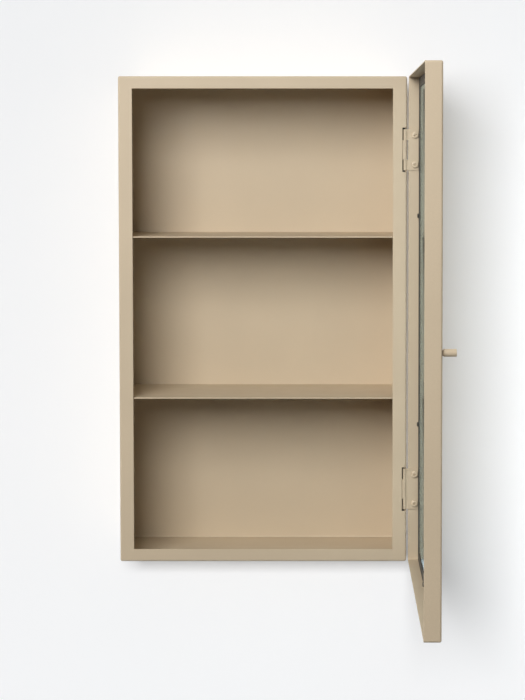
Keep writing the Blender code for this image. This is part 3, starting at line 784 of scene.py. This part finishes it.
def build_screws(prefix, names, size, direction, finish, body):
    """Pan-head screws in place of CAD ones, each turned to its own angle."""
    head_radius, head_height, shank_radius = size
    axis = Vector(direction)
    for index, name in enumerate(names):
        low, high = corners(name)
        length = abs((high - low).dot(axis))
        mesh = pan_head(name, head_radius, head_height, shank_radius, length - head_height)
        top = (low + high) / 2 + axis * length / 2
        angle = math.radians(FIRST_SCREW_ANGLE + SCREW_ANGLE_STEP * index)
        move = (
            Matrix.Translation(top - axis * head_height)
            @ axis.to_track_quat("Z", "Y").to_matrix().to_4x4()
            @ Matrix.Rotation(angle, 4, "Z")
        )
        add_piece(f"{prefix}_{index + 1}", mesh, finish, body, (name,), SCREW_EDGE, move)


# Hinges

def build_leaf(hinge, body, pin, along, across):
    """One leaf: along points from the barrel over the plate, across towards its screws' tips.

    The cabinet's leaf keeps the middle knuckle, and the door's keeps the two end ones.
    """
    name = f"{hinge}_{body}_plate"
    node_name = f"{hinge}_{body}_leaf"
    keeps_middle = body == "cabinet"
    low, high = corners(node_name)
    half = (high.z - low.z) / 2
    inner = LEAF_OUTER - LEAF_THICKNESS

    def section_place(point, place):
        return pin + across * point.x + along * point.y + Vector((0, 0, place))

    def plate_place(point, place):
        return pin + along * point.x + across * place + Vector((0, 0, point.y))

    plate = extruded(name, leaf_outline(half), plate_place, inner, LEAF_OUTER)
    section = knuckle_outline(inner, LEAF_OUTER, LEAF_FILLET if keeps_middle else LEAF_RAMP)
    barrel = extruded(name + "_barrel", section, section_place, -half, half)
    knuckle = MIDDLE_KNUCKLE / 2
    if keeps_middle:
        spans = ((-half - SHEET, -knuckle), (knuckle, half + SHEET))
    else:
        spans = ((-knuckle - KNUCKLE_GAP, knuckle + KNUCKLE_GAP),)
    clear = 3 * BARREL_RADIUS
    relief = bmesh.new()
    for start, end in spans:
        for vert in add_box(relief, (-clear, -clear, start), (clear, KNUCKLE_RELIEF, end)):
            vert.co = section_place(vert.co.xy, vert.co.z)
    holes = bmesh.new()
    up = Vector((0, 0, half + SHEET))
    add_rod(holes, pin - up, pin + up, BORE_RADIUS)
    for screw in leaf_screw_names(hinge, body):
        place = centre_of(screw)
        centre = place - (place - pin).dot(across) * across
        reach = 3 * SHEET * across
        add_rod(holes, centre - reach, centre + reach, LEAF_SCREW_HOLE)
    steps = [("UNION", barrel)]
    if keeps_middle:
        section = shoulder_outline(inner)
        shoulder = extruded(name + "_shoulder", section, section_place, -knuckle, knuckle)
        steps.append(("UNION", shoulder))
    steps.append(("DIFFERENCE", finished(relief, name + "_relief")))
    steps.append(("DIFFERENCE", finished(holes, name + "_holes")))
    coated(name, combined(plate, steps, name), body, (node_name,), soften=LEAF_EDGE)


def leaf_outline(half):
    """Outline of a leaf, (along, height): square at the barrel, rounded at the far corners."""
    end = LEAF_WIDTH - LEAF_CORNER
    top = half - LEAF_CORNER
    quarter = math.pi / 2
    return [
        Vector((0, -half)),
        *arc((end, -top), LEAF_CORNER, -quarter, quarter, CORNER_STEPS),
        *arc((end, top), LEAF_CORNER, 0, quarter, CORNER_STEPS),
        Vector((0, half)),
    ]


def shoulder_outline(inner):
    """Section, (across, along), that carries the middle knuckle over to the edge of the stile."""
    front = 0.05 * MM - BARREL_RADIUS
    centre = (SHOULDER_ROUND - SHOULDER_REACH, front + SHOULDER_ROUND)
    return [
        Vector((inner, BARREL_RADIUS)),
        Vector((-SHOULDER_REACH, BARREL_RADIUS)),
        *arc(centre, SHOULDER_ROUND, math.pi, math.pi / 2, CORNER_STEPS),
        Vector((0, front)),
    ]


def knuckle_outline(inner, outer, ramp):
    """Section of a rolled knuckle, (across, along): the plate swells into it on its open side."""
    centre_inner = inner - ramp
    centre_outer = outer + LEAF_FILLET
    rise_inner = math.sqrt((BARREL_RADIUS + ramp) ** 2 - centre_inner ** 2)
    rise_outer = math.sqrt((BARREL_RADIUS + LEAF_FILLET) ** 2 - centre_outer ** 2)
    meet_inner = math.atan2(rise_inner, centre_inner)
    meet_outer = math.atan2(rise_outer, centre_outer)
    sweep = math.tau - (meet_inner - meet_outer)
    points = arc((0, 0), BARREL_RADIUS, meet_inner, sweep, ROUND_STEPS)
    points += arc((centre_outer, rise_outer), LEAF_FILLET, meet_outer + math.pi, -meet_outer,
                  CORNER_STEPS)[1:]
    points += arc((centre_inner, rise_inner), ramp, 0, meet_inner - math.pi, CORNER_STEPS)[:-1]
    return points


def build_painted_shade_backing(name):
    """A folded plate behind the stile that closes a hinge notch from inside; its black is painted
    shade.
    """
    low, high = corners(name)
    outline = folded_outline(
        [(high.x, high.y), (low.x, high.y), (low.x, low.y)], BACKING_SHEET, BACKING_BEND_RADIUS,
    )

    def to_world(point, place):
        return point.x, point.y, place

    leaf_low, leaf_high = corners(name.replace("backing", "cabinet_leaf"))
    near = leaf_high.x - LEAF_THICKNESS - SCREW_CLEARANCE
    slot = box_mesh(
        "slot", (near, high.y - 2 * SHEET, leaf_low.z - BACKING_END_GAP),
        (high.x + SHEET, high.y + SHEET, leaf_high.z + BACKING_END_GAP),
    )
    mesh = combined(extruded(name, outline, to_world, low.z, high.z), [("DIFFERENCE", slot)], name)
    add_piece(name + "_plate", mesh, black_coat, "cabinet", (name,), THIN_SHEET_EDGE)


def build_hinges():
    to_right = Vector((1, 0, 0))
    to_wall = Vector((0, 1, 0))
    for hinge, place in pin_places.items():
        build_painted_shade_backing(hinge + "_backing")
        build_leaf(hinge, "cabinet", place, to_wall, to_right)
        build_leaf(hinge, "door", place, to_right, to_wall)
        half = corners(hinge + "_pin")[1].z - place.z
        crown = [
            (0, half), (0.6 * PIN_RADIUS, half - 0.2 * PIN_DOME), (PIN_RADIUS, half - PIN_DOME),
        ]
        profile = crown + [(radius, -height) for radius, height in reversed(crown)]
        plated(hinge + "_pivot", turned(hinge + "_pivot", profile), "cabinet", (hinge + "_pin",),
               soften=0, matrix=Matrix.Translation(place))
        for body, inwards in (("cabinet", -to_right), ("door", -to_wall)):
            build_screws(f"{hinge}_{body}_pan_head", leaf_screw_names(hinge, body), HINGE_SCREW,
                         inwards, screw_coat_painted_highlight, body)


# Door

def door_place(depth, place):
    """A point of the open door from its depth and its (across, height) place."""
    return DOOR_RIM + depth, DOOR_HINGE_EDGE - place.x, place.y


def door_widths(_point):
    return STILE_WIDTH, RAIL_WIDTH, RAIL_WIDTH


def retainer_screw_names():
    return [f"retainer_screw_{number + 1}" for number in range(RETAINER_SCREW_COUNT)]


def build_door_frame():
    """The welded frame with bosses inside its front, and holes for the hinges and the knob."""
    outline = folded_outline([(0, 0), (DOOR_DEPTH, 0), (DOOR_DEPTH, STILE_WIDTH)])
    size = ((0, BOTTOM), (DOOR_WIDTH, TOP))
    ring = ring_mesh("door_frame", outline, size, door_widths, door_place)
    front = DOOR_RIM + DOOR_DEPTH
    boss_head = corners("glass_retainer_hinge")[1].x + SCREW_CLEARANCE
    bosses = bmesh.new()
    holes = bmesh.new()

    def rod_through_front(shape, place, start, end, radius):
        add_rod(shape, (start, place.y, place.z), (end, place.y, place.z), radius)

    for name in retainer_screw_names():
        place = centre_of(name)
        rod_through_front(bosses, place, front - SHEET / 2, boss_head, RETAINER_BOSS_RADIUS)
        rod_through_front(holes, place, front - SHEET, boss_head - SHEET, RETAINER_SCREW_HOLE)
    for hinge in pin_places:
        for name in leaf_screw_names(hinge, "door"):
            place = centre_of(name)
            start = (place.x, DOOR_HINGE_EDGE - 2 * SHEET, place.z)
            add_rod(holes, start, (place.x, DOOR_HINGE_EDGE + SHEET, place.z), LEAF_SCREW_HOLE)
    rod_through_front(holes, centre_of("door_knob"), front - 2 * SHEET, front + SHEET, KNOB_BORE)
    steps = [("UNION", finished(bosses, "bosses")), ("DIFFERENCE", finished(holes, "holes"))]
    members = ("door_stile_hinge", "door_stile_free", "door_rail_top", "door_rail_bottom")
    coated("door_frame", combined(ring, steps, "door_frame"), "door", members)


def build_glass():
    """Reeded pane: upright convex reeds on the inner side, plain on the side that faces out."""
    low, high = corners("door_glass")
    reeds = round((high.y - low.y) / REED_PITCH)
    pitch = (high.y - low.y) / reeds
    valley = low.x + REED_HEIGHT
    radius = ((pitch / 2) ** 2 + REED_HEIGHT ** 2) / (2 * REED_HEIGHT)
    shape = bmesh.new()
    columns = []
    for reed in range(reeds):
        for step in range(REED_STEPS + (reed == reeds - 1)):
            across = pitch * (step / REED_STEPS - 0.5)
            crown = math.sqrt(radius ** 2 - across ** 2) - (radius - REED_HEIGHT)
            y = low.y + pitch * (reed + step / REED_STEPS)
            faces = (valley - crown, high.x)
            columns.append([shape.verts.new((x, y, z)) for x in faces for z in (low.z, high.z)])
    for here, there in zip(columns, columns[1:]):
        for first, second in ((0, 1), (2, 3), (0, 2), (1, 3)):
            shape.faces.new((here[first], here[second], there[second], there[first]))
    for column in (columns[0], columns[-1]):
        shape.faces.new((column[0], column[1], column[3], column[2]))
    add_piece("reeded_pane", finished(shape, "reeded_pane"), glass, "door",
              ("door_glass",), soften=0)


def build_tape():
    """A ring of foam tape with round edges between the pane and the frame's front."""
    low, high = corners("glazing_tape")
    edge = (high.x - low.x) / 2
    outline = []
    for centre, start in ((TAPE_WIDTH - edge, -math.pi / 2), (edge, math.pi / 2)):
        half_round = arc((centre, edge), edge, start, math.pi, 6)
        outline += [Vector((point.y, point.x)) for point in half_round]

    def tape_place(depth, place):
        return low.x + depth, high.y - place.x, place.y

    def tape_widths(_point):
        return TAPE_WIDTH, TAPE_WIDTH, TAPE_WIDTH

    size = ((0, low.z), (high.y - low.y, high.z))
    ring = ring_mesh("tape", outline, size, tape_widths, tape_place)
    add_piece("foam_strip", ring, foam, "door", ("glazing_tape",), soften=0)


def build_retainers():
    """Black strips that hold the pane from behind, screwed to the bosses."""
    for side in ("hinge", "free", "top", "bottom"):
        node_name = "glass_retainer_" + side
        low, high = corners(node_name)
        reach = Vector((10 * MM, 0, 0))
        holes = bmesh.new()
        for screw in retainer_screw_names():
            place = centre_of(screw)
            if low.y < place.y < high.y and low.z < place.z < high.z:
                add_rod(holes, place - reach, place + reach, RETAINER_SCREW_HOLE)
        steps = [("DIFFERENCE", finished(holes, "holes"))]
        mesh = combined(box_mesh(node_name, low, high), steps, node_name)
        add_piece("glazing_strip_" + side, mesh, black_coat, "door", (node_name,),
                  RETAINER_EDGE)
    build_screws("strip_screw", retainer_screw_names(), RETAINER_SCREW, (-1, 0, 0), black_coat,
                 "door")


def build_knob():
    """A turned knob with a short neck and soft edges, bored from behind for its screw."""
    low, high = corners("door_knob")
    length = high.x - low.x
    radius = (high.z - low.z) / 2
    rim = radius - KNOB_SOFT_EDGE
    neck = KNOB_NECK_LENGTH
    profile = [(0, length), (0.5 * radius, length)]
    for height, start in ((length - KNOB_SOFT_EDGE, math.pi / 2), (neck + KNOB_SOFT_EDGE, 0)):
        edge = arc((rim, height), KNOB_SOFT_EDGE, start, -math.pi / 2, KNOB_EDGE_STEPS)
        profile += [(point.x, point.y) for point in edge]
    profile += [
        (KNOB_NECK_RADIUS + KNOB_NECK_FILLET, neck), (KNOB_NECK_RADIUS, neck - KNOB_NECK_FILLET),
        (KNOB_NECK_RADIUS, 0), (KNOB_BORE, 0), (KNOB_BORE, length / 2), (0, length / 2),
    ]
    centre = (low + high) / 2
    move = Matrix.Translation((low.x, centre.y, centre.z)) @ Matrix.Rotation(math.pi / 2, 4, "Y")
    knob = turned("knob", profile, KNOB_STEPS)
    coated("knob", knob, "door", ("door_knob",), soften=0, matrix=move)
    build_screws("knob_fixing", ["knob_screw"], KNOB_SCREW, (-1, 0, 0), zinc,
                 "door")


# Room, light and camera

def room_material(name, colour, one_sided):
    """Matt paint; one_sided lets a camera behind the surface see through it."""
    made, tree, shader = new_material(name)
    clouds = between(tree, noise(tree, 3.0, 2.0), 0.0, 1.0)
    tone = colour_mix(tree, clouds, shaded(colour, 0.998), colour)
    tree.links.new(tone, shader.inputs["Base Color"])
    shader.inputs["Roughness"].default_value = 0.9
    shader.inputs["Specular IOR Level"].default_value = 0.0
    if one_sided:
        clear = tree.nodes.new("ShaderNodeBsdfTransparent")
        facing = tree.nodes.new("ShaderNodeNewGeometry")
        switch(tree, facing.outputs["Backfacing"], shader, clear, "Material Output")
    return made


def even_out(finish, foot):
    """Make up on the wall for the way its lamp fades with distance from the lamp's foot.

    With r the distance and d the lamp's own, it adds glow * (1 - (d^2 / (d^2 + r^2))^2).
    """
    tree = finish.node_tree
    shader = tree.nodes["Principled BSDF"]
    reach = tree.nodes.new("ShaderNodeVectorMath")
    reach.operation = "DISTANCE"
    reach.inputs[1].default_value = foot
    tree.links.new(object_position(tree), reach.inputs[0])
    value = reach.outputs["Value"]
    lamp_square = WALL_LIGHT_DISTANCE ** 2
    for operation, first, second in (
        ("POWER", None, 2.0), ("ADD", None, lamp_square), ("DIVIDE", lamp_square, None),
        ("POWER", None, 2.0), ("SUBTRACT", 1.0, None), ("MULTIPLY", None, WALL_GLOW),
    ):
        step = tree.nodes.new("ShaderNodeMath")
        step.operation = operation
        for socket, number in zip(step.inputs, (first, second)):
            if number is None:
                tree.links.new(value, socket)
            else:
                socket.default_value = number
        value = step.outputs[0]
    shader.inputs["Emission Color"].default_value = WHITE
    tree.links.new(value, shader.inputs["Emission Strength"])


def quad(name, points, finish):
    """One flat face of the stage."""
    mesh = bpy.data.meshes.new(name)
    mesh.from_pydata([tuple(point) for point in points], [], [(0, 1, 2, 3)])
    mesh.materials.append(finish)
    surface = make_object(name, mesh)
    return surface


def group(name, members):
    made = bpy.data.collections.new(name)
    for member in members:
        made.objects.link(member)
    return made


def add_light(name, energy, place, target, size, receivers, blockers=None):
    """A softbox that faces a target, lights its receivers and is shadowed by its blockers."""
    lamp = bpy.data.lights.new(name, "AREA")
    lamp.shape = "RECTANGLE"
    lamp.size, lamp.size_y = size
    lamp.energy = energy
    holder = make_object(name, lamp)
    holder.location = place
    holder.rotation_euler = (Vector(place) - Vector(target)).to_track_quat("Z", "Y").to_euler()
    holder.light_linking.receiver_collection = receivers
    if blockers is not None:
        holder.light_linking.blocker_collection = blockers
    holder.visible_transmission = False
    return holder


def add_sky(name, energy, towards, angle, receivers):
    """A very wide sun that stands in for the bright room over one surface."""
    lamp = bpy.data.lights.new(name, "SUN")
    lamp.energy = energy
    lamp.angle = math.radians(angle)
    holder = make_object(name, lamp)
    holder.rotation_euler = Vector(towards).to_track_quat("Z", "Y").to_euler()
    holder.light_linking.receiver_collection = receivers
    return holder


def build_world():
    """A faint even light that the camera sees as a pale backdrop, and dimmer through the glass."""
    world = bpy.data.worlds.new("studio")
    bpy.context.scene.world = world
    world.use_nodes = True
    tree = world.node_tree
    ambient = tree.nodes["Background"]
    ambient.inputs["Color"].default_value = WHITE
    ambient.inputs["Strength"].default_value = AMBIENT
    seen = node(tree, "ShaderNodeBackground", Color=WHITE, Strength=WALL_TONE)
    path = tree.nodes.new("ShaderNodeLightPath")
    share = tree.nodes.new("ShaderNodeMath")
    share.operation = "MULTIPLY_ADD"
    share.inputs[1].default_value = SEEN_THROUGH_GLASS
    tree.links.new(path.outputs["Is Transmission Ray"], share.inputs[0])
    tree.links.new(path.outputs["Is Camera Ray"], share.inputs[2])
    switch(tree, share.outputs[0], ambient, seen, "World Output")


def build_room():
    """The wall that the showcase hangs on, and the floor below it."""
    half = ROOM_SIZE / 2
    floor_z = BOTTOM - FLOOR_DROP
    wall_paint = room_material("wall_paint", WALL_PAINT, True)
    floor_paint = room_material("floor_paint", FLOOR_PAINT, False)
    even_out(wall_paint, (WALL_LIGHT_PLACE[0], 0, WALL_LIGHT_PLACE[2]))
    wall = quad("wall", [
        (-half, WALL_GAP, floor_z), (half, WALL_GAP, floor_z),
        (half, WALL_GAP, half), (-half, WALL_GAP, half),
    ], wall_paint)
    floor = quad("floor", [
        (-half, -half, floor_z), (half, -half, floor_z),
        (half, half, floor_z), (-half, half, floor_z),
    ], floor_paint)
    floor.visible_diffuse = False
    return wall, floor


def build_lights(wall, floor):
    showcase = group("showcase", pieces)
    wall_only = group("wall_only", [wall])
    floor_only = group("floor_only", [floor])
    centre = (0, FRONT, MIDDLE)
    add_sky("wall_sky", WALL_SKY, WALL_SKY_TOWARDS, WALL_SKY_ANGLE, wall_only)
    add_sky("floor_sky", FLOOR_SKY, FLOOR_SKY_TOWARDS, FLOOR_SKY_ANGLE, floor_only)
    add_light("wall_light", WALL_LIGHT, WALL_LIGHT_PLACE, centre, WALL_LIGHT_SIZE, wall_only)
    add_light("key", KEY, KEY_PLACE, centre, KEY_SIZE, showcase)
    add_light("side_fill", SIDE_FILL, SIDE_FILL_PLACE, centre, SIDE_FILL_SIZE, showcase)
    rear = add_light("rear_fill", REAR_FILL, REAR_FILL_PLACE, centre, REAR_FILL_SIZE, showcase,
                     showcase)
    rear.visible_glossy = False


def build_camera():
    lens = bpy.data.cameras.new("camera")
    lens.lens = LENS_LENGTH
    lens.sensor_width = SENSOR_WIDTH
    lens.shift_x, lens.shift_y = CAMERA_SHIFT
    lens.clip_start = CLIP_START
    lens.clip_end = CLIP_END
    holder = make_object("camera", lens)
    holder.location = (CAMERA_RIGHT, -CAMERA_DISTANCE, TOP - CAMERA_BELOW_TOP)
    holder.rotation_euler = (math.radians(90 - CAMERA_PITCH), 0, 0)
    bpy.context.scene.camera = holder


build_carcass()
build_back()
build_shelves()
build_magnet()
build_hinges()
build_door_frame()
build_glass()
build_tape()
build_retainers()
build_knob()
build_world()
build_lights(*build_room())
build_camera()
bpy.context.scene.view_settings.view_transform = "Standard"
